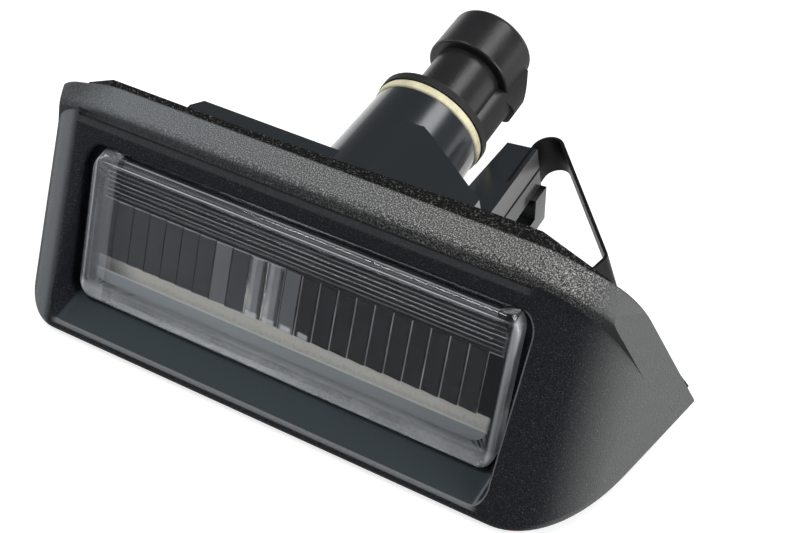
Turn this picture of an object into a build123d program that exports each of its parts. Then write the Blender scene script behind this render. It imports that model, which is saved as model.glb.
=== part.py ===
from build123d import *
from math import cos, radians, sin, tan
import os

os.makedirs("parts", exist_ok=True)

# Frame in mm: +X along the lamp, +Y back through the panel, +Z up.
# y = 0 is the back of the gasket, x = 0 the middle of the flange, z = 0 half its height.

# Flange and wedge
flange_length = 141.8
flange_height = 28.0
flange_edge = 5.8
gasket_thickness = 2.8
end_slant = 22.4
end_draft = 18.9
far_end_draft = 30.0
far_end_trim = 1.2
bottom_tilt = 9.7
shoulder_run = 24.4
shoulder_fall = 16.0
shoulder_radius = 11.0
crown_radius = 20.0
front_slope = 43.7
ledge = 2.7
crease_groove = 0.8
crease_rounding = 0.35
crease_start = 19.9
crease_end = 25.9
cheek_radius = 20.0
far_cheek_radius = 11.0
nose_radius = 1.1
edge_radius = 1.2
gasket_inset = 3.0
gasket_room = 0.4
gasket_corner = 2.0
gasket_corner_drop = 6.4
gasket_crest_start = 24.0
gasket_crest_end = 14.0
gasket_drop = 2.1
gasket_far_corner = 7.0
gasket_far_drop = 5.5
wall = 2.2
back_wall = 3.0

# Lens and the recess it sits in
lens_length = 90.6
lens_top_drop = 6.9
lens_fall = 24.0
lens_slope = 33.6
lens_stand = 5.0
lens_thickness = 2.5
lens_corner = 3.0
lens_edge_radius = 0.8
recess_gap_side = 2.0
recess_gap_end = 0.3
recess_lip = 0.5
lens_floor = 1.6
lens_rest = 2.4
prism_count = 21
prism_pitch = 3.78
prism_shift = 0.5
prism_depth = 0.55
prism_riser = 0.3
prism_turn = -5.2
bright_prisms = 2
bright_depth = 0.9
prism_top = 7.7
prism_height = 11.5
flute_count = 4
flute_pitch = 1.7
flute_radius = 1.6
flute_depth = 0.23

# Back of the housing
tube_x = 2.4
tube_z = -2.2
tube_reach = 23.4
tube_radius = 10.9
tube_draft = 2.8
tube_bore = 8.6
lip_thickness = 1.7
lip_bore = 7.7
plinth_top = 8.6
plinth_left_inset = 36.3
plinth_toe = 3.4
back_margin = 2.1
plinth_rise = 5.0
plinth_chamfer = 2.0
rib_thickness = 2.4
rib_rise = 10.9
rib_stand = 0.5
rib_base = 2.4
rib_foot = 1.4
rib_crest_start = 1.3
rib_crest_end = 6.4
rib_shoulder = 8.2
rib_shoulder_drop = 1.0
tongue_inset = 10.9
tongue_length = 14.0
tongue_root_length = 6.0
tongue_top = 3.0
tongue_height = 10.0
tongue_gap = 2.6
tongue_thickness = 1.9

# Clip post and spring strip, turned a little towards the slant of the near end
clip_turn = 9.2
post_near = 6.0
post_deep = 7.4
post_gap = 3.1
post_flare = 3.2
post_wide = 6.5
post_reach = 28.2
post_groove = 0.6
groove_depth = 0.35
slot_wall = 0.8
brace_deep = 5.2
brace_proud = 1.2
brace_drop = 3.2
brace_leg = 2.2
brace_thickness = 2.2
brace_top = 26.2
brace_window = 22.2
strip_thickness = 0.6
strip_width = 8.0
strip_hold = 9.0
strip_bend = 2.6
strip_arch = 7.0
clip_inset = 22.7
knee_rise = 8.3
knee_bend = 1.0
foot_rise = 1.0
foot_tuck = 2.0

# Bulb holder, seal, contacts and bulb
barrel_radius = 7.3
barrel_front = 8.0
lug_width = 4.6
lug_gap = 0.3
notch_gap = 0.5
lug_thickness = 1.6
release_angle = 45.0
seal_radius = 11.2
seal_thickness = 1.8
seal_gap = 0.1
holder_flange = 1.5
holder_flange_radius = 11.4
holder_taper = 1.8
holder_taper_radius = 8.8
neck_radius = 6.8
neck_length = 12.5
shroud_radius = 8.6
shroud_draft = 1.0
shroud_rounding = 1.2
rim_rounding = 0.5
shroud_length = 10.0
socket_length = 11.0
socket_height = 8.0
socket_depth = 8.6
grip_turn = 30.0
grip_width = 6.0
grip_radius = 10.5
grip_rounding = 1.8
latch_radius = 11.5
latch_length = 3.4
latch_ramp = 5.6
contact_spacing = 5.2
contact_width = 2.8
contact_thickness = 0.8
contact_pin = 7.0
bulb_radius = 5.0
bulb_length = 26.8
bulb_base_length = 9.0
bulb_base_width = 9.5
bulb_wall = 0.6
base_gap = 0.2
wire_radius = 0.25
wire_spacing = 4.0
wire_root = 3.0
filament_y = -3.0

reach = 400.0
panel_back = -gasket_thickness
flange_front = panel_back - flange_edge
top_z = flange_height / 2
low_z = -flange_height / 2
half_length = flange_length / 2
plinth_left = half_length - plinth_left_inset
base_align = (Align.CENTER, Align.CENTER, Align.MIN)


def inside(point, normal, inset=0.0):
    """Large block on the inner side of a plane, the plane moved inwards by inset."""
    start = Vector(*point) - Vector(*normal).normalized() * inset
    return Plane(origin=start, z_dir=normal) * Pos(0, 0, -reach / 2) * Box(reach, reach, reach)


def block(x_range, y_range, z_range):
    """Box between the given limits."""
    spans = (x_range, y_range, z_range)
    middle = [(low + high) / 2 for low, high in spans]
    size = [high - low for low, high in spans]
    return Pos(*middle) * Box(*size)


def plate(plane, points, thickness):
    """Straight-sided solid on a plane from its outline points."""
    outline = make_face(Polyline(*points, close=True))
    return extrude(plane * outline, amount=thickness)


# The wedge's own faces
end_run = tan(radians(end_slant))
end_lean = tan(radians(end_draft))
far_end_lean = tan(radians(far_end_draft))
crease = (0, flange_front, top_z - ledge)
front_normal = (0, -cos(radians(front_slope)), sin(radians(front_slope)))
bottom_point = (0, panel_back, low_z)
bottom_normal = (0, sin(radians(bottom_tilt)), -cos(radians(bottom_tilt)))
lens_normal = (0, -cos(radians(lens_slope)), sin(radians(lens_slope)))
lens_top_z = top_z - lens_top_drop
lens_top = (0, flange_front - lens_stand, lens_top_z)


def ends(inset=0.0):
    """Space between the two leaning ends."""
    right = inside((half_length, panel_back, low_z), (1, -end_lean, end_run), inset)
    left = inside((far_end_trim - half_length, panel_back, low_z), (-1, -far_end_lean, end_run), inset)
    return right & left


def wedge(inset=0.0):
    """Wedge between front, bottom and ends, with rounded cheeks."""
    shape = inside(crease, front_normal, inset) & inside(bottom_point, bottom_normal, inset) & ends(inset)
    shape = shape & block((-reach, reach), (-reach, -panel_back), (-reach, reach))
    cheeks = [edge for edge in shape.edges() if is_cheek(edge)]
    cheeks.sort(key=lambda edge: edge.center().X)
    shape = fillet(cheeks[-1], cheek_radius - inset)
    cheeks = [edge for edge in shape.edges() if is_cheek(edge) and edge.center().X < -lens_length / 2]
    cheeks.sort(key=lambda edge: edge.center().X)
    shape = fillet(cheeks[0], far_cheek_radius - inset)
    if inset == 0:
        shape = fillet([edge for edge in shape.edges() if is_nose(edge)], nose_radius)
    return shape


def is_cheek(edge):
    """Edge between the sloping front and one end."""
    along = edge.tangent_at(0.5)
    return abs(along.Y) > 0.4 and abs(along.Z) > 0.4


def is_nose(edge):
    """Lower edge of the sloping front, between the cheeks."""
    along = edge.tangent_at(0.5)
    return abs(along.X) > 0.99 and edge.center().Z < low_z


def lens_outline(grow_side, grow_end):
    """Bar with the outline of the lens as seen along Y, grown by the given gaps."""
    shape = RectangleRounded(lens_length + 2 * grow_side, lens_fall + 2 * grow_end, lens_corner)
    shape = Pos(0, lens_top_z - lens_fall / 2) * shape
    return extrude(Plane.XZ * shape, amount=reach, both=True)


def make_flange():
    """Flange plate with leaning ends, shoulders and a rounded front edge."""
    low = 2 * low_z
    low_half = half_length - (low - low_z) * end_run
    slope = tan(radians(shoulder_fall))
    top_half = half_length - shoulder_run
    meet = half_length - flange_height * end_run
    corner_x = (meet - slope * end_run * top_half) / (1 - slope * end_run)
    corner_z = top_z - (corner_x - top_half) * slope
    right = [(low_half, low), (corner_x, corner_z), (top_half, top_z)]
    left = [(-x, z) for x, z in reversed(right)]
    outline = make_face(Polyline(*right, *left, close=True))
    shoulders = outline.vertices().filter_by(lambda v: abs(abs(v.X) - corner_x) < 0.1)
    outline = fillet(shoulders, shoulder_radius)
    crowns = outline.vertices().filter_by(lambda v: v.Y > top_z - 0.1 and abs(abs(v.X) - top_half) < 0.1)
    outline = fillet(crowns, crown_radius)
    flange = extrude(Plane.XZ.offset(gasket_thickness) * outline, amount=flange_edge)
    flange = flange & ends() & inside(bottom_point, bottom_normal)
    rim = [edge for edge in flange.edges() if is_front_top(edge)]
    flange = fillet(rim, edge_radius)
    return fillet([edge for edge in flange.edges() if is_low_end(edge)], nose_radius)


def is_front_top(edge):
    """Front edge of the flange along its top and shoulders."""
    on_front = abs(edge.center().Y - flange_front) < 0.01
    return on_front and edge.center().Z > top_z / 2


def is_low_end(edge):
    """Edge between the flange's bottom and one end."""
    along = edge.tangent_at(0.5)
    return abs(along.Y) > 0.8 and edge.center().Z < low_z and abs(edge.center().X) > lens_length / 2


# Directions of the clip: away from the tube, and down the width of the strip
across = (cos(radians(clip_turn)), 0, sin(radians(clip_turn)))
down = (sin(radians(clip_turn)), 0, -cos(radians(clip_turn)))
side_view = Plane(origin=(0, 0, 0), x_dir=down, z_dir=across)
strip_view = Plane(origin=(0, 0, 0), x_dir=across, z_dir=[-value for value in down])
post_inner = tube_x + seal_radius + post_gap
post_outer = post_inner + post_wide
plinth_right = post_outer + plinth_toe
strip_out = half_length - clip_inset - post_outer
post_far = post_near + post_deep
leg_u = post_outer - slot_wall
brace_far = post_far + brace_deep
root_y = panel_back - back_wall / 2
back_low = low_z + back_margin
tube_root = tube_radius + (tube_reach - root_y) * tan(radians(tube_draft))
tongue_right = tongue_inset + tongue_length - half_length


def make_post():
    """Post with a slot for the spring strip, a windowed brace and a groove on its outer side."""
    side = [(post_near, root_y), (post_near, post_reach), (post_far, brace_top), (post_far, root_y)]
    post = plate(side_view.offset(post_inner - post_flare), side, post_wide + post_flare)
    front = [(post_inner - post_flare, root_y), (post_inner, post_reach), (post_outer, post_reach),
             (post_outer, root_y)]
    post = post & plate(strip_view.offset(-post_far), front, post_deep)
    slope = brace_drop / brace_deep
    brace = [(post_far, brace_window), (post_far, brace_top), (brace_far, brace_top - brace_drop),
             (brace_far, root_y), (brace_far - brace_leg, root_y),
             (brace_far - brace_leg, brace_window - slope * (brace_deep - brace_leg))]
    post = post + plate(side_view.offset(post_outer - brace_thickness), brace, brace_thickness + brace_proud)
    groove_start = post_near + post_deep / 2
    groove_end = groove_start + post_groove
    groove = [(groove_start, plinth_rise), (groove_start, post_reach), (groove_end, post_reach),
              (groove_end, plinth_rise)]
    post = post - plate(side_view.offset(post_outer - groove_depth), groove, groove_depth)
    slot = [(leg_u - strip_thickness, post_reach - strip_hold), (leg_u, post_reach - strip_hold),
            (leg_u, post_reach), (leg_u - strip_thickness, post_reach)]
    return post - plate(strip_view.offset(-post_near - strip_width), slot, strip_width)


tube_axis = Plane(origin=(tube_x, 0, tube_z), x_dir=(1, 0, 0), z_dir=(0, 1, 0))


def round_bar(radius, start, end):
    """Round bar on the tube's axis between two distances from the panel."""
    return tube_axis * Pos(0, 0, start) * Cylinder(radius, end - start, align=base_align)


def pocket(start):
    """Room inside the plinth, from the given distance to its back wall."""
    along = (2 * wall - plinth_left, plinth_right - wall)
    return block(along, (start, plinth_rise - wall), (back_low + wall, plinth_top - wall))


def make_back():
    """Plinth, rib, tube, post and tongue behind the flange."""
    plinth = block((-plinth_left, plinth_right), (root_y, plinth_rise), (back_low, plinth_top))
    hollow = pocket(panel_back - reach)
    end_edge = plinth.edges().filter_by(Axis.Z).sort_by(Axis.X)[:2].sort_by(Axis.Y)[-1]
    plinth = chamfer(end_edge, plinth_chamfer) - hollow
    rib_top = plinth_rise + rib_rise
    rib = [(tube_x - rib_foot, rib_base), (tube_x + rib_crest_start, rib_top - rib_shoulder_drop / 2),
           (tube_x + rib_crest_end, rib_top), (tube_x + rib_shoulder, rib_top - rib_shoulder_drop),
           (plinth_right, plinth_rise), (plinth_right, rib_base)]
    rib_plate = plate(Plane.XY.offset(plinth_top + rib_stand - rib_thickness), rib, rib_thickness)
    tube = Cone(tube_root, tube_radius, tube_reach - root_y, align=base_align)
    tube = tube_axis * Pos(0, 0, root_y) * tube
    tongue_span = (tongue_top - tongue_height, tongue_top)
    tongue_end = tongue_gap + tongue_thickness
    tongue = block((tongue_right - tongue_root_length, tongue_right), (root_y, tongue_end), tongue_span)
    blade = (tongue_right - tongue_length, tongue_right)
    tongue = tongue + block(blade, (tongue_gap, tongue_end), tongue_span)
    back = plinth + rib_plate + tube + make_post() + tongue
    below = block((-reach, reach), (-reach, tongue_gap), (-reach, back_low))
    above = block((-reach, reach), (-reach, gasket_room), (plinth_top, reach))
    return back - below - above


def lugs(angle, extra):
    """Bayonet lugs as seen along the tube, turned by an angle and grown by extra."""
    radius = tube_bore - lug_gap + extra
    bar = Box(2 * radius, lug_width + 2 * extra, lug_thickness + 2 * extra) & Cylinder(radius, reach)
    middle = tube_reach - lip_thickness - lug_gap - lug_thickness / 2
    return tube_axis * Pos(0, 0, middle) * Rot(0, 0, angle) * bar


def is_recess_lip(edge):
    """Edge where the recess opens through the sloping front."""
    middle = edge.center()
    from_front = (middle - Vector(*crease)).dot(Vector(*front_normal))
    recess_low = lens_top_z - lens_fall - recess_gap_end
    recess_high = lens_top_z + recess_gap_end
    in_height = recess_low - recess_lip < middle.Z < recess_high + recess_lip
    return abs(from_front) < 0.01 and in_height and abs(middle.X) < lens_length / 2 + 2 * recess_gap_side


def is_crease_edge(edge):
    """Edge where the groove under the flange meets the sloping front."""
    middle = edge.center()
    along = edge.tangent_at(0.5)
    below = 0 < crease[2] - middle.Z < crease_groove
    return abs(along.X) > 0.99 and below and abs(middle.Y - crease[1]) < crease_groove


def make_housing():
    """Black moulding: wedge, flange, recess, hollow inside and everything behind the flange."""
    front_part = wedge() & block((-reach, reach), (-reach, flange_front + edge_radius), (-reach, reach))
    shell = make_flange() + front_part
    groove_length = 2 * half_length - crease_start - crease_end
    groove = Rot(0, 90, 0) * Cylinder(crease_groove, groove_length)
    shell = shell - Pos((crease_start - crease_end) / 2, crease[1], crease[2]) * groove
    shell = fillet([edge for edge in shell.edges() if is_crease_edge(edge)], crease_rounding)
    recess = lens_outline(recess_gap_side, recess_gap_end)
    recess = recess - inside(lens_top, lens_normal, lens_thickness)
    fence = lens_outline(recess_gap_side + wall, recess_gap_end + wall)
    fence = fence - inside(lens_top, lens_normal, lens_thickness + lens_floor)
    hollow = wedge(wall) & block((-reach, reach), (-reach, panel_back - back_wall), (-reach, low_z + reach))
    hollow = hollow & block((-reach, reach), (-reach, reach), (-reach, top_z - ledge - wall))
    hollow = hollow - fence
    window = lens_outline(-lens_rest, -lens_rest)
    window = window - inside(lens_top, lens_normal, lens_thickness + 2 * lens_floor)
    shell = shell - recess
    shell = fillet([edge for edge in shell.edges() if is_recess_lip(edge)], recess_lip)
    shell = shell - hollow - window
    shell = shell - pocket(panel_back - 2 * back_wall) + make_back()
    shell = shell - round_bar(tube_bore, panel_back - 2 * back_wall, tube_reach - lip_thickness)
    shell = shell - round_bar(lip_bore, 0, tube_reach + 1)
    notch = lugs(release_angle, notch_gap)
    return shell - notch - Pos(0, lip_thickness, 0) * notch


def prism_groove(middle):
    """Section of one prism: saw-tooth on either side of the turn, an even V at the turn itself."""
    left = middle - prism_pitch / 2
    right = middle + prism_pitch / 2
    back = -lens_thickness
    if abs(middle - prism_turn) < bright_prisms * prism_pitch / 2:
        return [(left, back), (right, back), (middle, back + bright_depth)]
    if middle < prism_turn:
        return [(left, back), (right, back), (left + prism_riser, back + prism_depth)]
    return [(left, back), (right, back), (right - prism_riser, back + prism_depth)]


def make_lens():
    """Clear plate with upright prisms and lengthwise flutes on its inner side."""
    lens = lens_outline(0, 0) & inside(lens_top, lens_normal)
    lens = lens - inside(lens_top, lens_normal, lens_thickness)
    front = [face for face in lens.faces() if face.normal_at().dot(Vector(*lens_normal)) > 0.99]
    lens = fillet(front[0].edges(), lens_edge_radius)
    local = Plane(origin=lens_top, x_dir=(1, 0, 0), z_dir=lens_normal)
    back = -lens_thickness
    for index in range(prism_count):
        middle = prism_shift + (index - (prism_count - 1) / 2) * prism_pitch
        lens = lens - local * plate(Plane.XZ.offset(prism_top), prism_groove(middle), prism_height)
    for index in range(flute_count):
        drop = prism_top - flute_pitch * (index + 1)
        rod = Rot(0, 90, 0) * Cylinder(flute_radius, prism_count * prism_pitch)
        lens = lens - local * Pos(prism_shift, -drop, back + flute_depth - flute_radius) * rod
    return lens


def make_gasket():
    """Foam sheet on the back of the flange, open where the housing passes through."""
    low_half = half_length - gasket_inset
    high_half = half_length - flange_height * end_run - gasket_inset
    low = low_z + gasket_room
    outline = [(-low_half, low), (low_half, low), (high_half - gasket_corner, top_z - gasket_corner_drop),
               (high_half - gasket_crest_end, top_z), (high_half - gasket_crest_start, top_z),
               (-high_half / 3, top_z - gasket_drop), (gasket_far_corner - high_half, top_z - gasket_drop),
               (-high_half, top_z - gasket_far_drop)]
    sheet = plate(Plane.XZ, outline, gasket_thickness)
    hole_right = (post_outer + brace_proud) * across[0] + brace_far * down[0] + gasket_room
    hole = block((-plinth_left - gasket_room, hole_right), (-gasket_thickness, 0),
                 (back_low - gasket_room, plinth_top + gasket_room))
    tube_hole = round_bar(tube_root + gasket_room, -gasket_thickness, 0)
    tube_hole = tube_hole & block((-reach, reach), (-reach, reach), (back_low - gasket_room, reach))
    slot_start = tongue_right - tongue_root_length - gasket_room
    slot = block((slot_start, tongue_right + gasket_room), (-gasket_thickness, 0),
                 (tongue_top - tongue_height - gasket_room, tongue_top + gasket_room))
    foot_low = (post_outer + strip_out) * down[0] * across[0] - (post_near + strip_width) - gasket_room
    foot_room = block((0, (post_outer + strip_out) * across[0] + post_near * down[0] + 2 * gasket_room),
                      (-gasket_thickness, 0), (foot_low, plinth_top / 2))
    return sheet - hole - tube_hole - slot - foot_room


def make_clip():
    """Spring strip: a leg in the post's slot, a tight bend, a long slanting leg and a tucked-in foot."""
    knee_u = post_outer + strip_out
    path = Polyline((leg_u, post_reach - strip_hold), (leg_u, post_reach + strip_arch),
                    (knee_u, knee_rise), (knee_u - foot_tuck, foot_rise))
    corners = path.vertices().sort_by(Axis.Y)
    path = fillet(corners[-1], strip_bend)
    knee = path.vertices().sort_by(Axis.X)[-1]
    path = fillet(knee, knee_bend)
    ribbon = make_face(offset(path, amount=strip_thickness, side=Side.LEFT))
    return extrude(strip_view.offset(-post_near - strip_width) * ribbon, amount=strip_width)


seal_start = tube_reach + seal_gap
seal_end = seal_start + seal_thickness
flange_end = seal_end + holder_flange
neck_end = flange_end + neck_length
shroud_end = neck_end + shroud_length
socket_floor = shroud_end - socket_depth
base_end = barrel_front + bulb_base_length
bulb_tip = base_end - bulb_length
dome_y = bulb_tip + bulb_radius


def contact(side):
    """Brass strip from the bulb's base to the plug pin."""
    middle = tube_x + side * contact_spacing / 2
    start = barrel_front + bulb_base_length / 3
    return block((middle - contact_thickness / 2, middle + contact_thickness / 2),
                 (start, socket_floor + contact_pin),
                 (tube_z - contact_width / 2, tube_z + contact_width / 2))


def bulb_base(gap):
    """Flat wedge base of the bulb, or its seat in the holder when grown by a gap."""
    half_thick = contact_spacing / 2 - contact_thickness / 2 - base_gap + gap
    half_wide = bulb_base_width / 2 + gap
    return block((tube_x - half_thick, tube_x + half_thick), (barrel_front - 2 * base_gap, base_end + gap),
                 (tube_z - half_wide, tube_z + half_wide))


def make_holder():
    """Twist-in bulb holder with lugs, flange, neck, plug shroud and latch block."""
    holder = round_bar(barrel_radius, barrel_front, seal_end)
    holder = holder + round_bar(holder_flange_radius, seal_end, flange_end)
    holder = holder + round_bar(neck_radius, flange_end, neck_end)
    taper = Cone(holder_taper_radius, neck_radius, holder_taper, align=base_align)
    holder = holder + tube_axis * Pos(0, 0, flange_end) * taper
    shroud_tip = shroud_radius - shroud_length * tan(radians(shroud_draft))
    shroud = Cone(shroud_radius, shroud_tip, shroud_length, align=base_align)
    rims = shroud.edges().filter_by(GeomType.CIRCLE).sort_by(Axis.Z)
    shroud = fillet(rims[0], rim_rounding)
    rims = shroud.edges().filter_by(GeomType.CIRCLE).sort_by(Axis.Z)
    shroud = fillet(rims[-1], shroud_rounding)
    holder = holder + tube_axis * Pos(0, 0, neck_end) * shroud
    holder = holder + lugs(0, 0)
    latch_start = neck_end - latch_length / 2
    latch_end = latch_start + latch_length
    ramp_end = latch_end + latch_ramp
    grip_plane = Plane.XZ.offset(-grip_width / 2)
    wing = [(0, flange_end), (grip_radius, flange_end), (grip_radius, latch_start), (0, latch_start)]
    latch = [(0, latch_start), (latch_radius, latch_start), (latch_radius, latch_end),
             (shroud_radius, ramp_end), (0, ramp_end)]
    for profile in (wing, latch):
        block_part = plate(grip_plane, profile, grip_width)
        outer_edges = block_part.edges().filter_by(Axis.Z).group_by(Axis.X)[-1]
        holder = holder + tube_axis * Rot(0, 0, grip_turn) * fillet(outer_edges, grip_rounding)
    socket = extrude(RectangleRounded(socket_length, socket_height, socket_height / 5), amount=socket_depth)
    holder = holder - tube_axis * Pos(0, 0, socket_floor) * socket
    return holder - bulb_base(base_gap) - contact(-1) - contact(1)


def make_seal():
    """Rubber ring round the barrel, under the holder's flange."""
    ring = round_bar(seal_radius, seal_start, seal_end) - round_bar(barrel_radius, seal_start, seal_end)
    return fillet(ring.edges().group_by(SortBy.LENGTH)[-1], seal_thickness / 4)


def lead_wire(side):
    """Straight support wire from the bulb's base to the filament."""
    place = Pos(0, 0, side * wire_spacing / 2)
    return place * round_bar(wire_radius, filament_y, barrel_front + wire_root)


def make_bulb():
    """Clear wedge-base bulb: a domed hollow body on a flat base."""
    dome = Pos(tube_x, dome_y, tube_z)
    outer = round_bar(bulb_radius, dome_y, barrel_front - base_gap) + dome * Sphere(bulb_radius)
    inner_radius = bulb_radius - bulb_wall
    hollow = round_bar(inner_radius, dome_y, barrel_front - 2 * bulb_wall) + dome * Sphere(inner_radius)
    return outer - hollow + bulb_base(0) - lead_wire(-1) - lead_wire(1)


def make_filament():
    """Fine coil shown as a bar across the wire tips."""
    place = Pos(tube_x, filament_y - wire_radius, tube_z)
    return place * Cylinder(wire_radius, wire_spacing + 2 * wire_radius)


def export(shape, name):
    shape.label = name
    export_step(shape, "parts/" + name + ".step")


export(make_housing(), "housing")
export(make_lens(), "lens")
export(make_gasket(), "gasket")
export(make_clip(), "spring_clip")
export(make_holder(), "bulb_holder")
export(make_seal(), "seal_ring")
export(contact(-1), "contact_left")
export(contact(1), "contact_right")
export(make_bulb(), "bulb_glass")
export(lead_wire(-1), "lead_wire_left")
export(lead_wire(1), "lead_wire_right")
export(make_filament(), "filament")
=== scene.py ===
import bpy
import math
from mathutils import Matrix, Vector


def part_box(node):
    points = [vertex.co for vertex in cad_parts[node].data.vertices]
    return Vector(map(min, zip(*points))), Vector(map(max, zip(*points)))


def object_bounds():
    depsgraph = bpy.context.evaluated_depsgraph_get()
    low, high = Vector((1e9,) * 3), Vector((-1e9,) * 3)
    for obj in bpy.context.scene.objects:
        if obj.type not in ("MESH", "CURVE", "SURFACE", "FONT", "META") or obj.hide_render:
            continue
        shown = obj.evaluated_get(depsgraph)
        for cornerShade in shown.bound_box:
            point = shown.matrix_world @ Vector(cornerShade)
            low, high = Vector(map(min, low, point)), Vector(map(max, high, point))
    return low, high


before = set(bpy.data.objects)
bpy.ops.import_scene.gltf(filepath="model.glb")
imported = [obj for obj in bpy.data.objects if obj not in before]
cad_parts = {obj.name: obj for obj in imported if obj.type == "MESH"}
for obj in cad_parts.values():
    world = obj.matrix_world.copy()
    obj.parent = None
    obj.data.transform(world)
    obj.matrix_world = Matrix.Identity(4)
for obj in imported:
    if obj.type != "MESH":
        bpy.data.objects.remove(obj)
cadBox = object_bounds()
print("frame loaded:", len(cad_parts), "nodes")


class Wire:
    # one output of a node, with sums done on it by further nodes
    def __init__(self, socket):
        self.socket = socket
        self.tree = socket.id_data

    def add(self, kind, settings, inputs, output=0):
        node = self.tree.nodes.new(kind)
        for name, value in settings.items():
            setattr(node, name, value)
        for name, value in inputs.items():
            if isinstance(value, Wire):
                self.tree.links.new(value.socket, node.inputs[name])
            else:
                node.inputs[name].default_value = value
        if len(node.outputs) == 0:
            return None
        return Wire(node.outputs[output])

    def sums(self, operation, first, second):
        return self.add("ShaderNodeMath", {"operation": operation}, {0: first, 1: second})

    def __add__(self, other):
        return self.sums("ADD", self, other)

    def __radd__(self, other):
        return self.sums("ADD", other, self)

    def __sub__(self, other):
        return self.sums("SUBTRACT", self, other)

    def __rsub__(self, other):
        return self.sums("SUBTRACT", other, self)

    def __mul__(self, other):
        return self.sums("MULTIPLY", self, other)

    def __rmul__(self, other):
        return self.sums("MULTIPLY", other, self)


def newFinish(name):
    finish = bpy.data.materials.new(name)
    finish.use_nodes = True
    finish.node_tree.nodes.clear()
    coords = finish.node_tree.nodes.new("ShaderNodeTexCoord")
    return finish, Wire(coords.outputs["Object"])


def axis(spot, letter):
    return spot.add("ShaderNodeSeparateXYZ", {}, {"Vector": spot}, letter)


def noise(spot, scale, detail=2.0, roughness=0.5):
    sockets = {"Vector": spot, "Scale": scale, "Detail": detail, "Roughness": roughness}
    return spot.add("ShaderNodeTexNoise", {}, sockets, "Fac")


def cells(spot, scale):
    return spot.add("ShaderNodeTexVoronoi", {}, {"Vector": spot, "Scale": scale}, "Distance")


def step(value, low, high):
    sockets = {"Value": value, "From Min": low, "From Max": high}
    return value.add("ShaderNodeMapRange", {"interpolation_type": "SMOOTHSTEP"}, sockets)


def past(value, place, soft):
    return step(value, place - soft, place + soft)


def strip(value, low, high, soft):
    return past(value, low, soft) - past(value, high, soft)


def toLine(value, start, pitch):    # 0 on each line of a row, 0.5 half-way to the next
    return value.sums("PINGPONG", (value - start) * (1 / pitch), 0.5)


def vary(value, base, gain):
    return base + gain * value


def larger(value, other):
    return value.sums("MAXIMUM", value, other)


def capped(value):
    return value.sums("MINIMUM", value, 1.0)


def tint(mask, colour, other):      # sockets 6 and 7 are the Mix node's two colours, 2 its result
    return mask.add("ShaderNodeMix", {"data_type": "RGBA"}, {0: mask, 6: colour, 7: other}, 2)


def blend(mask, value, other):
    return value + mask * (other - value)


def bump(height, depth):
    return height.add("ShaderNodeBump", {}, {"Height": height, "Distance": depth, "Strength": 1.0})


def surface(spot, sockets):
    return spot.add("ShaderNodeBsdfPrincipled", {}, sockets, "BSDF")


def close(spot, shader):
    spot.add("ShaderNodeOutputMaterial", {}, {"Surface": shader})


def dress(finish, *nodes):
    for name in nodes:
        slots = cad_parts[name].data.materials
        slots.clear()
        slots.append(finish)
    print("dressed:", ", ".join(nodes))


# Noises below are given as scale, detail and roughness, strips as start, end and softness,
# and what varies with a noise as its base and gain.

housingLook = {
    "colour": (0.006, 0.008, 0.011, 1),
    "grain": (4000, 3.0, 0.65),
    "grainDepth": 0.00022,
    "cloud": (90, 2.0),
    "rough": (0.50, 0.10),
    "shine": 0.10,
    # the colour of glints painted on the grain's peaks
    "grainGlint": (0.62, 0.62, 0.60, 1),
    "fineGlints": [(0.15, 0.62, 0.74), (0.03, 0.42, 0.66)],   # painted glints on the grain: share, then the grain's levels
    "coarseGlints": (0.44, 0.72),                             # the grain's levels for the coarser painted glints on the rim
    "coarseFade": (0.15, 0.85),
    "rim": (-0.0086, -0.0029, 0.0003),        # y of the flange's edge, where the grain is coarser and the colour is painted lighter for the light it catches
    "rimLitColour": (0.041, 0.042, 0.041, 1),
    "rimFarReflection": (0.130, 0.144, 0.153, 1),       # smoother at the far end, and paler there with a painted reflection
    "rimFade": (-0.070, 0.040),               # x along which the rim gets coarser and its painted reflection fades
    "rimEnd": (0.052, 0.060),                 # x where the coarse grain fades out
    "cornerShade": (0.038, 0.041, 0.044, 1),       # painted shade on the far corner of the rim
    "cornerAt": (-0.056, -0.042),
    "end": (0.116, 0.119, 0.117, 1),          # painted light, greyer where the moulding turns to its clip end
    "endFacing": (0.34, 0.86),                # how far the surface faces +X
    "endFrom": (0.0450, 0.0500),
    "endTip": (0.0605, 0.0640),               # x past which all is grey
    "edge": (0.158, 0.170, 0.180, 1),         # painted reflection on the rounded edge at the far end
    "edgeFacing": (-0.60, -0.17, 0.10),
    "wearAndHighlight": (0.19, 0.195, 0.20, 1),           # painted highlight along the bead above the lens and along the lip
    "beadAcross": (-0.0510, 0.0450, 0.001),
    "beadHigh": (0.0098, 0.0107, 0.0002),
    "beadBefore": (-0.0091, -0.0089),
    "beadHighlight": 0.18,
    "lipAcross": (-0.0460, 0.0460, 0.001),
    "lipHigh": (-0.0175, -0.0169, 0.0001),
    "lipBack": (-0.0362, -0.0353, 0.0001),
    "lipHighlight": 0.9,
    "floor": (0.033, 0.043, 0.049, 1),        # the recess's smooth floor, painted lighter for the light it catches
    "floorBack": (-0.0353, -0.0280, 0.0001),
    "floorFlat": 0.8,
    "rear": (0.010, 0.014, 0.017, 1),         # smooth mouldings behind the flange
    "rearFrom": (-0.0029, -0.0025),           # y where the grain ends
    "rearFlat": 0.92,
    "rearSmooth": 0.15,
    "gloss": 1.0,
    "glossRough": 0.20,
    "postSideLight": (0.11, 0.11, 0.11, 1),        # painted light on the clip post's outer side
    "postFrom": (0.0225, 0.0228),
    "postFacing": (0.90, 0.97),
    "postCloud": (0.6, 0.8),
}


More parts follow.
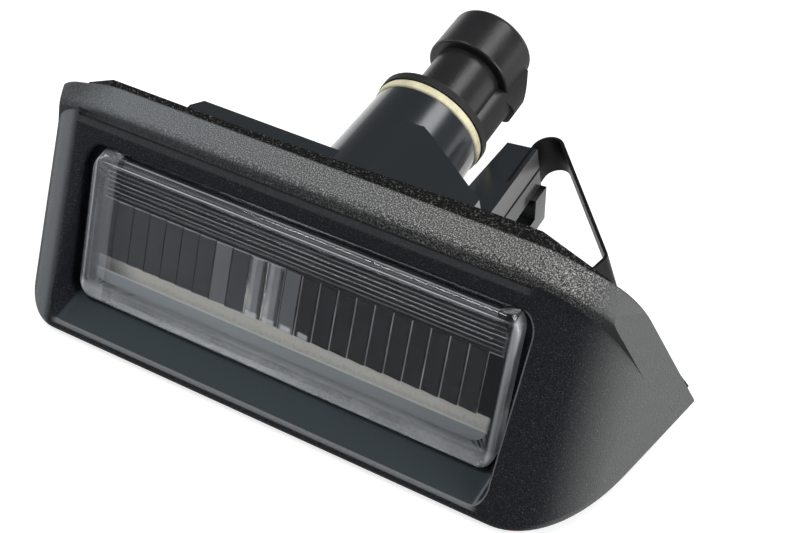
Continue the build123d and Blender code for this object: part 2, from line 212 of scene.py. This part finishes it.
def grainedCharcoal(look):
    finish, spot = newFinish("grained charcoal")
    across, back, high = (axis(spot, letter) for letter in "XYZ")
    facing = axis(spot.add("ShaderNodeTexCoord", {}, {}, "Normal"), "X")
    grain = noise(spot, *look["grain"])
    cloud = noise(spot, *look["cloud"])

    # the rim is painted lighter for the light it catches, paler still at the far end, with painted
    # shade at its far corner
    flange = strip(back, *look["rim"])
    rimEnd = step(across, *look["rimEnd"])
    rim = flange * (1 - rimEnd)
    near = step(across, *look["rimFade"])
    rimLitColour = tint(near, look["rimFarReflection"], look["rimLitColour"])
    rimLitColour = tint(step(across, *look["cornerAt"]), look["cornerShade"], rimLitColour)
    front = tint(rim, look["colour"], rimLitColour)

    # painted light on the clip end, and a painted reflection on the rounded edge at the far end
    end = step(facing, *look["endFacing"]) * step(across, *look["endFrom"])
    end = larger(larger(end, flange * rimEnd), step(across, *look["endTip"]))
    edge = strip(facing, *look["edgeFacing"]) * (1 - flange)
    front = tint(edge, tint(end, front, look["end"]), look["edge"])

    # painted glints on the grain's peaks, coarser on the rim
    coarse = step(grain, *look["coarseGlints"]) * vary(near, *look["coarseFade"])
    fine = sum(share * step(grain, *levels) for share, *levels in look["fineGlints"])
    front = tint(blend(rim, fine, coarse), front, look["grainGlint"])

    # painted highlights along the bead above the lens and along the recess lip
    bead = strip(across, *look["beadAcross"]) * strip(high, *look["beadHigh"])
    bead = bead * (1 - step(back, *look["beadBefore"]))
    lowest = strip(across, *look["lipAcross"]) * strip(high, *look["lipHigh"])
    lip = lowest * strip(back, *look["lipBack"])
    # the recess floor is smoother, and painted lighter for the light it catches
    recessFloor = lowest * strip(back, *look["floorBack"])
    front = tint(recessFloor, front, look["floor"])
    front = tint(look["beadHighlight"] * bead + look["lipHighlight"] * lip, front, look["wearAndHighlight"])

    rear = step(back, *look["rearFrom"])
    # painted light on the clip post's outer side
    postSideLight = step(facing, *look["postFacing"]) * step(across, *look["postFrom"])
    rearColour = tint(postSideLight * vary(cloud, *look["postCloud"]), look["rear"], look["postSideLight"])
    relief = grain * (1 - look["rearFlat"] * rear) * (1 - look["floorFlat"] * recessFloor)
    sockets = {
        "Base Color": tint(rear, front, rearColour),
        "Roughness": vary(cloud, *look["rough"]) - look["rearSmooth"] * rear,
        "Specular IOR Level": look["shine"],
        "Coat Weight": look["gloss"] * rear,
        "Coat Roughness": look["glossRough"],
        "Normal": bump(relief, look["grainDepth"]),
    }
    close(spot, surface(spot, sockets))
    return finish


dress(grainedCharcoal(housingLook), "housing")


lensLook = {
    "colour": (0.93, 0.95, 0.97, 1),
    "index": 1.49,
    "rough": (0.03, 0.03),
    "fluteRough": 0.12,
    "wave": (350, 2.0),
    "waveDepth": 0.000002,
    "white": (0.92, 0.94, 0.96, 1),         # the colours of the frosted zones and of the light and shade painted on the lens
    "cream": (0.93, 0.90, 0.82, 1),
    "grey": (0.55, 0.59, 0.61, 1),
    # seam is the painted shade seen through the prisms and flutes
    "seam": (0.004, 0.005, 0.007, 1),
    "whiteGain": 1.6,
    "creamGain": 1.5,
    "seamGain": 2,
    "frostRough": (0.45, 0.2),
    "frostDepth": 0.00005,
    "cloud": (110, 3.0),
    "mottle": (1500, 3.0, 0.6),
    "mottleLevels": (0.45, 0.75),
    "mottleShare": 0.22,
    "slope": 33.6,                          # lean of the plate, degrees
    "thick": 0.0025,
    "inner": (0.0012, 0.0015),              # into the plate from its face
    "sharp": 0.0001,                        # softness of moulded edges
    # a painted highlight along the top edge
    "topEdgeHighlight": (0.0007, 0.0010, 0.0001),    # down the plate from its top edge, to "foot"
    "flutes": (0.0010, 0.0077, 0.0002),
    "flutePitch": 0.00085,
    "ridgeWidth": (0.08, 0.20),             # in pitches, as the other widths are
    "ridgeCloud": (0.3, 0.9),
    # painted highlight lines across the plate
    "lineHighlights": [                              # share, start, end, softness
        (1.0, 0.00422, 0.00438, 0.00004),
        (0.35, 0.0058, 0.0062, 0.0002),
        (0.7, 0.0075, 0.0078, 0.0001),
        (0.5, 0.0218, 0.0221, 0.0001),
    ],
    "prisms": (0.0077, 0.0192),
    "tips": (0.0181, 0.0192, 0.0003),
    "band": (0.0191, 0.0219),
    "bandSoft": 0.0002,
    "bandFade": (1.1, -0.35),
    "bandMottle": (0.68, 0.8),
    "low": (0.0219, 0.0257, 0.0004),
    "foot": (0.0240, 0.0258),
    "footCloud": (0.2, 0.6),
    "footMottle": 0.4,
    "wide": (-0.04219, 0.04269, 0.0006),    # across the plate, to "leftLine"
    "topAcross": (-0.04119, 0.04219, 0.004),
    "field": (-0.03919, 0.04019),
    "pitch": 0.00378,
    "bright": (-0.00894, -0.00138),         # the bright columns of painted light seen through the prisms, painted highlights on the edges to their right
    "brightSoft": 0.0002,
    "columnWidth": (0.06, 0.30),
    "besideWidth": (0.03, 0.10),
    "besideLight": 0.7,
    "seamWidth": (0.025, 0.05),
    "edgeWidth": (0.020, 0.040),
    "edgeCloud": (0.35, 0.9),
    "bandStart": (-0.04019, -0.03119),
    "bandStartShare": (0.35, 0.65),
    "lowFade": (-0.045, 0.035),
    "lowShare": (0.80, 0.20),
    "side": (-0.03959, -0.03919),
    "wall": 0.0013,
    "wallSoft": 0.0003,
    "leftLine": (0.0009, 0.0013),
    "leftLineShare": 0.8,
    "paleShares": {
        "band": 1.0, "columns": 0.45, "tips": 0.8, "topEdgeHighlight": 0.6, "edges": 0.8, "lineHighlights": 0.8,
        "foot": 0.45, "walls": 0.40,
    },
    "greyShares": {
        "low": 1.0, "leftPrisms": 0.20, "flutes": 0.08, "ridges": 0.26, "side": 0.20,
        "beside": 0.28,
    },
    # painted shade seen through the prisms and flutes
    "darkShares": {"seams": 0.9, "rightPrisms": 0.80, "grooves": 0.50},
}


def lensZones(look, spot, cloud, mottle):
    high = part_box("lens")[1]
    lean = math.radians(look["slope"])
    across = axis(spot, "X")
    back = axis(spot, "Y") - (high[1] - look["thick"] / math.cos(lean))
    rise = axis(spot, "Z") - high[2]
    down = -math.sin(lean) * back - math.cos(lean) * rise     # along the plate from its top edge
    depth = math.cos(lean) * back - math.sin(lean) * rise     # into the plate from its face
    inner = step(depth, *look["inner"])
    wide = strip(across, *look["wide"]) * inner
    sharp = look["sharp"]

    start, end = look["field"]
    first, last = look["bright"]
    pitch = look["pitch"]
    field = strip(across, start, end, sharp) * strip(down, *look["prisms"], sharp) * inner
    fold = toLine(across, start, pitch)
    # the columns are painted light seen through the middle prisms, with brighter tips and lighter
    # strips beside them
    column = step(fold, *look["columnWidth"])
    isRight = past(across, last, look["brightSoft"])
    isLeft = 1 - past(across, first, look["brightSoft"])
    # painted highlights on the right prisms' edges
    edges = 1 - step(fold, *look["edgeWidth"])
    edges = field * isRight * edges * vary(cloud, *look["edgeCloud"])
    beside = strip(across, last, last + pitch, sharp)
    beside = beside + strip(across, first - 2 * pitch, first - pitch, sharp)
    beside = beside * field * step(fold, *look["besideWidth"])
    tips = strip(down, *look["tips"]) * strip(across, first, last + 2 * pitch, sharp)
    tips = tips * field * column
    shaded = (1 - edges) * (1 - look["besideLight"] * beside) * (1 - tips)

    flutes = strip(down, *look["flutes"]) * wide
    # painted highlights on the flute ridges; the grooves between them are painted shade
    ridges = 1 - step(toLine(down, look["flutes"][0], look["flutePitch"]), *look["ridgeWidth"])
    ridges = flutes * ridges * vary(cloud, *look["ridgeCloud"])
    # painted highlight lines across the plate
    lineHighlights = sum(share * strip(down, *place) for share, *place in look["lineHighlights"])

    band = strip(down, *look["band"], look["bandSoft"]) * wide
    band = band * vary(step(down, *look["band"]), *look["bandFade"])
    band = band * vary(step(across, *look["bandStart"]), *look["bandStartShare"])
    low = strip(down, *look["low"]) * wide
    foot = vary(cloud, *look["footCloud"]) + look["footMottle"] * mottle
    walls = past(across, high[0] - look["wall"], look["wallSoft"])
    # a painted highlight line along the lens's left edge, added to the frosted walls
    lineStart, lineEnd = (inset - high[0] for inset in look["leftLine"])
    walls = walls + look["leftLineShare"] * strip(across, lineStart, lineEnd, sharp)
    # rightPrisms, seams and grooves are painted shade seen through the lens
    return {
        "band": band * vary(mottle, *look["bandMottle"]),
        "beside": beside,
        "columns": field * (1 - isRight - isLeft) * column,
        "edges": edges,
        "flutes": flutes,
        "foot": step(down, *look["foot"]) * foot,
        "grooves": flutes * (1 - ridges),
        "leftPrisms": field * isLeft,
        "lineHighlights": lineHighlights * wide,
        "low": low * vary(1 - step(across, *look["lowFade"]), *look["lowShare"]),
        "ridges": ridges,
        "rightPrisms": field * isRight * shaded,
        "seams": field * isLeft * (1 - step(fold, *look["seamWidth"])),
        "side": 1 - step(across, *look["side"]),
        "tips": tips,
        "topEdgeHighlight": strip(down, *look["topEdgeHighlight"]) * strip(across, *look["topAcross"]),
        "walls": walls,
    }


def weigh(zones, shares):
    return sum(share * zones[name] for name, share in shares.items())


def clearPlastic(look):
    finish, spot = newFinish("clear moulded plastic")
    cloud = noise(spot, *look["cloud"])
    mottle = noise(spot, *look["mottle"])
    zones = lensZones(look, spot, cloud, mottle)
    # The frost layer holds the frosted zones and painted light: highlights on edges, ridges and
    # lines, light seen through the middle prisms, and painted shade in the dark prisms, seams and
    # grooves.
    pale = weigh(zones, look["paleShares"])
    dark = weigh(zones, look["darkShares"])
    frostAndPaintedLight = pale + weigh(zones, look["greyShares"]) + dark
    shade = tint(capped(look["whiteGain"] * pale), look["grey"], look["white"])
    shade = tint(capped(look["creamGain"] * zones["band"]), shade, look["cream"])
    spots = look["mottleShare"] * step(mottle, *look["mottleLevels"])
    shade = tint(spots, shade, look["grey"])
    frostAndPaintedLightSockets = {
        "Base Color": tint(capped(look["seamGain"] * dark), shade, look["seam"]),
        "Roughness": vary(mottle, *look["frostRough"]),
        "Normal": bump(mottle, look["frostDepth"]),
    }
    clearSockets = {
        "Base Color": look["colour"],
        "Roughness": vary(cloud, *look["rough"]) + look["fluteRough"] * zones["flutes"],
        "IOR": look["index"],
        "Transmission Weight": 1.0,
        "Normal": bump(noise(spot, *look["wave"]), look["waveDepth"]),
    }
    clear = surface(spot, clearSockets)
    frostAndPaintedLightShader = surface(spot, frostAndPaintedLightSockets)
    close(spot, spot.add("ShaderNodeMixShader", {}, {0: capped(frostAndPaintedLight), 1: clear, 2: frostAndPaintedLightShader}))
    return finish


dress(clearPlastic(lensLook), "lens")


gasketLook = {
    "colour": (0.005, 0.005, 0.005, 1),
    "fleck": (0.13, 0.13, 0.12, 1),
    "fleckLevels": (0.54, 0.68),
    "pores": 1700,                  # per metre
    "grain": (2890, 3.0, 0.7),
    "grainShare": 0.6,
    "depth": 0.00035,
    "rough": (0.75, 0.2),
    "shine": 0.12,
}


def blackFoam(look):
    finish, spot = newFinish("black foam")
    pores = cells(spot, look["pores"])
    grain = noise(spot, *look["grain"])
    flecks = step(grain, *look["fleckLevels"])
    sockets = {
        "Base Color": tint(flecks, look["colour"], look["fleck"]),
        "Roughness": vary(grain, *look["rough"]),
        "Specular IOR Level": look["shine"],
        "Normal": bump(pores + look["grainShare"] * grain, look["depth"]),
    }
    close(spot, surface(spot, sockets))
    return finish


dress(blackFoam(gasketLook), "gasket")


springLook = {
    "colour": (0.009, 0.009, 0.010, 1),
    "wearAndHighlight": (0.045, 0.045, 0.045, 1),
    "wornShare": 0.5,
    "stain": (140, 3.0, 0.6),
    "brush": (700, 3.0),
    "brushScale": (1.0, 1.0, 12.0),
    "brushDepth": 0.00002,
    "rough": (0.46, 0.15),
}


def darkSpringSteel(look):
    finish, spot = newFinish("dark spring steel")
    along = spot.add("ShaderNodeMapping", {}, {"Vector": spot, "Scale": look["brushScale"]})
    brush = noise(along, *look["brush"])
    stain = noise(spot, *look["stain"])
    sockets = {
        "Base Color": tint(look["wornShare"] * stain, look["colour"], look["wearAndHighlight"]),
        "Metallic": 1.0,
        "Roughness": vary(brush, *look["rough"]),
        "Normal": bump(brush, look["brushDepth"]),
    }
    close(spot, surface(spot, sockets))
    return finish


dress(darkSpringSteel(springLook), "spring_clip")


holderLook = {
    "colour": (0.010, 0.010, 0.011, 1),
    "dust": (0.020, 0.020, 0.020, 1),
    "dustShare": 0.5,
    "cloud": (120, 4.0, 0.6),
    "grain": (1800, 2.0),
    "grainDepth": 0.00003,
    "collar": (0.0252, 0.0267, 0.0001),     # y of the flange, which is duller
    "wing": (0.0096, 0.0108),               # x from which the latch side is duller, and painted darker for its shade
    "dullRough": 0.35,
    "rough": (0.25, 0.15),
    "shine": 0.34,
}


def satinBlack(look):
    finish, spot = newFinish("satin black")
    cloud = noise(spot, *look["cloud"])
    grain = noise(spot, *look["grain"])
    collar = strip(axis(spot, "Y"), *look["collar"])
    dull = larger(collar, step(axis(spot, "X"), *look["wing"]))
    # no dust on the flange and the latch side; on the latch side this is painted shade
    dust = look["dustShare"] * cloud * (1 - dull)
    sockets = {
        "Base Color": tint(dust, look["colour"], look["dust"]),
        "Roughness": vary(cloud, *look["rough"]) + look["dullRough"] * dull,
        "Specular IOR Level": look["shine"],
        "Normal": bump(grain, look["grainDepth"]),
    }
    close(spot, surface(spot, sockets))
    return finish


dress(satinBlack(holderLook), "bulb_holder")


sealLook = {
    "colour": (0.72, 0.68, 0.46, 1),
    "shade": (0.52, 0.48, 0.31, 1),
    "shadeLevels": (0.35, 0.75),
    "cloud": (300, 4.0, 0.6),
    "grain": (2500, 2.0),
    "grainDepth": 0.00004,
    "rough": (0.5, 0.15),
}


def creamRubber(look):
    finish, spot = newFinish("cream rubber")
    cloud = noise(spot, *look["cloud"])
    grain = noise(spot, *look["grain"])
    sockets = {
        "Base Color": tint(step(cloud, *look["shadeLevels"]), look["colour"], look["shade"]),
        "Roughness": vary(cloud, *look["rough"]),
        "Normal": bump(grain, look["grainDepth"]),
    }
    close(spot, surface(spot, sockets))
    return finish


dress(creamRubber(sealLook), "seal_ring")


def bareMetal(name, look, colour, stain):       # for the contacts, the wires and the filament
    finish, spot = newFinish(name)
    cloud = noise(spot, *look["cloud"])
    sockets = {
        "Base Color": tint(step(cloud, *look["stainLevels"]), colour, stain),
        "Metallic": 1.0,
        "Roughness": vary(cloud, *look["rough"]),
        "Normal": bump(cloud, look["depth"]),
    }
    close(spot, surface(spot, sockets))
    return finish


contactLook = {
    "brass": (0.62, 0.47, 0.22, 1),
    "tarnish": (0.34, 0.24, 0.11, 1),
    "stainLevels": (0.4, 0.8),
    "cloud": (260, 4.0, 0.6),
    "depth": 0.00003,
    "rough": (0.28, 0.2),
}
brass = bareMetal("plain brass", contactLook, contactLook["brass"], contactLook["tarnish"])
dress(brass, "contact_left", "contact_right")


bulbLook = {
    "colour": (0.96, 0.97, 0.98, 1),
    "draw": (180, 2.0),             # waves from drawing the glass
    "drawDepth": 0.00003,
    "rough": (0.01, 0.02),
    "index": 1.5,
}


def clearGlass(look):
    finish, spot = newFinish("clear glass")
    draw = noise(spot, *look["draw"])
    sockets = {
        "Base Color": look["colour"],
        "Roughness": vary(draw, *look["rough"]),
        "IOR": look["index"],
        "Transmission Weight": 1.0,
        "Normal": bump(draw, look["drawDepth"]),
    }
    close(spot, surface(spot, sockets))
    return finish


dress(clearGlass(bulbLook), "bulb_glass")


wireLook = {
    "wire": (0.62, 0.61, 0.60, 1),
    "wireStain": (0.35, 0.33, 0.31, 1),
    "coil": (0.33, 0.33, 0.34, 1),
    "coilStain": (0.12, 0.12, 0.13, 1),
    "stainLevels": (0.4, 0.8),
    "cloud": (900, 3.0),
    "depth": 0.00002,
    "rough": (0.25, 0.2),
}
brightWire = bareMetal("bright wire", wireLook, wireLook["wire"], wireLook["wireStain"])
dress(brightWire, "lead_wire_left", "lead_wire_right")
tungstenCoil = bareMetal("tungsten coil", wireLook, wireLook["coil"], wireLook["coilStain"])
dress(tungstenCoil, "filament")


cameraSet = {
    "place": (0.15476, -0.16186, 0.24316),
    "right": (0.8391, 0.5249, -0.1430),
    "up": (-0.3306, 0.7008, 0.6321),
    "lens": 82.9,
    "sensor": 36.0,
    "near": 0.01,
}


def addCamera(look):
    data = bpy.data.cameras.new("photo camera")
    data.lens = look["lens"]
    data.sensor_width = look["sensor"]
    data.clip_start = look["near"]
    right = Vector(look["right"]).normalized()
    up = Vector(look["up"]).normalized()
    turn = Matrix((right, up, right.cross(up))).transposed().to_4x4()
    camera = bpy.data.objects.new("photo camera", data)
    bpy.context.scene.collection.objects.link(camera)
    camera.matrix_world = Matrix.Translation(look["place"]) @ turn
    bpy.context.scene.camera = camera


addCamera(cameraSet)
print("camera placed")


floorLook = {
    "gap": 0.0004,              # under the lowest point
    "half": 3.0,
    "colour": (0.55, 0.55, 0.55, 1),
    "lift": 0.72,               # shown to the eye, metal and glass, so that the floor is white
}


def addFloor(look):
    bpy.ops.object.select_all(action="DESELECT")
    low = cadBox[0][2] - look["gap"]
    bpy.ops.mesh.primitive_plane_add(size=2 * look["half"], location=(0, 0, low))
    floor = bpy.context.object
    floor.name = "floor"
    bpy.ops.object.transform_apply(location=True, rotation=True, scale=True)
    finish, spot = newFinish("white floor")
    rays = ("Is Camera Ray", "Is Glossy Ray", "Is Transmission Ray")
    seen = capped(sum(spot.add("ShaderNodeLightPath", {}, {}, ray) for ray in rays))
    matte = spot.add("ShaderNodeBsdfDiffuse", {}, {"Color": look["colour"]})
    glow = spot.add("ShaderNodeEmission", {}, {"Strength": seen * look["lift"]})
    close(spot, spot.add("ShaderNodeAddShader", {}, {0: matte, 1: glow}))
    floor.data.materials.append(finish)


addFloor(floorLook)
print("floor laid")


lightLook = {
    "sky": (0.20, 0.20, 0.21, 1),    # the studio's walls
    "lamps": {
        "back softbox": {"place": (0.30, 0.40, 0.50), "size": 0.30, "power": 2.0},
        "top softbox": {"place": (-0.24, 0.03, 0.62), "size": 0.22, "power": 1.75},
        "right softbox": {"place": (0.72, 0.03, 0.20), "size": 0.42, "power": 4.8},
        "left softbox": {"place": (-0.60, -0.10, 0.25), "size": 0.36, "power": 1.2},
    },
}


def addLights(look):
    world = bpy.data.worlds.new("studio")
    bpy.context.scene.world = world
    world.use_nodes = True
    world.node_tree.nodes["Background"].inputs["Color"].default_value = look["sky"]
    for name, lamp in look["lamps"].items():
        data = bpy.data.lights.new(name, "AREA")
        data.size = lamp["size"]
        data.energy = lamp["power"]
        light = bpy.data.objects.new(name, data)
        bpy.context.scene.collection.objects.link(light)
        light.location = lamp["place"]
        light.rotation_euler = (-Vector(lamp["place"])).to_track_quat("-Z", "Y").to_euler()


addLights(lightLook)
print("lights set")

bpy.context.scene.view_settings.view_transform = "Standard"
